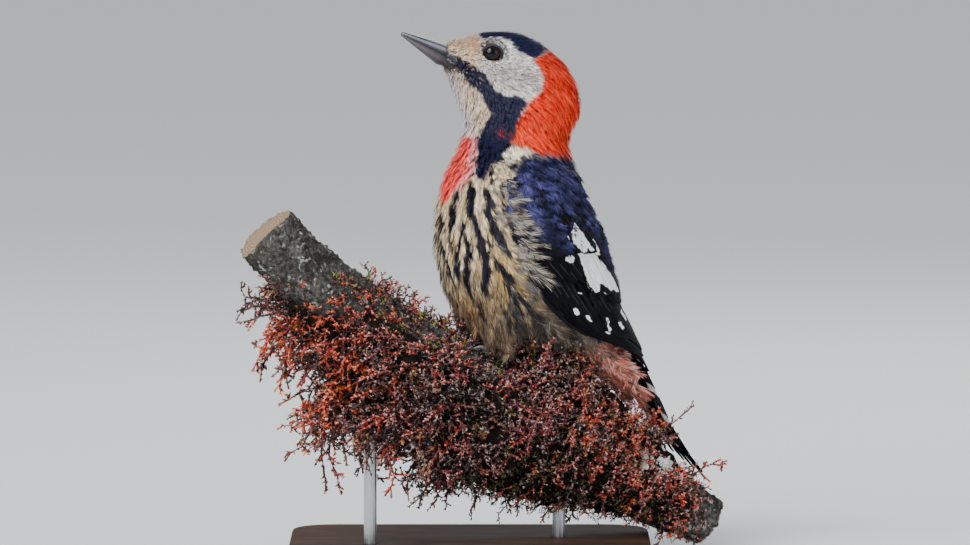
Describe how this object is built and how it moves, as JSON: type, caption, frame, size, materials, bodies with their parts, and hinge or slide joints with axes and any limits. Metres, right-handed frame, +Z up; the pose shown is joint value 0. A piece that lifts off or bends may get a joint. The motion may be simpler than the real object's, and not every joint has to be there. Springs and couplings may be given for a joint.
{
  "type": "woodpecker model on a perch",
  "caption": "Life-size woodpecker with a red nape and streaked breast, gripping a mossy cut branch held over a flat base by rods.",
  "frame": {"origin": "centre of the flat underside of the stand's base", "axes": "+Z up; +X along the base's length, from the side that the bird looks to towards its tail; -Y is the side that the bird's left eye and left wing face"},
  "size_m": [0.1504, 0.088, 0.1646],
  "materials": {
    "plumage": "soft, thin, overlapping feathers",
    "flight_feathers": "glossy blue-black vanes with white spots",
    "horn": "satin grey horn",
    "eye": "wet and dark reddish brown",
    "scaly_skin": "dry grey scales",
    "bark": "rough, with lichen",
    "moss": "dry red-brown and olive sprigs",
    "stained_wood": "dark stain, satin varnish",
    "brushed_steel": "brushed"
  },
  "bodies": {
    "root": {"head": "plumage", "neck": "plumage", "trunk": "plumage", "undertail": "plumage", "thigh_L": "plumage", "thigh_R": "plumage", "eye_L": "eye", "eye_R": "eye", "bill_upper": "horn", "bill_lower": "horn", "wing_L_shoulder": "flight_feathers", "wing_L_secondaries": "flight_feathers", "wing_L_primaries": "flight_feathers", "wing_R_shoulder": "flight_feathers", "wing_R_secondaries": "flight_feathers", "wing_R_primaries": "flight_feathers", "tail_middle": "flight_feathers", "tail_left": "flight_feathers", "tail_right": "flight_feathers", "foot_L": "scaly_skin", "foot_R": "scaly_skin", "claw_L_inner": "horn", "claw_L_middle": "horn", "claw_L_outer": "horn", "claw_L_hind": "horn", "claw_R_inner": "horn", "claw_R_middle": "horn", "claw_R_outer": "horn", "claw_R_hind": "horn", "perch_branch": "bark", "perch_moss": "moss", "stand_base": "stained_wood", "stand_rod_upper": "brushed_steel", "stand_rod_lower": "brushed_steel"}
  },
  "joints": []
}
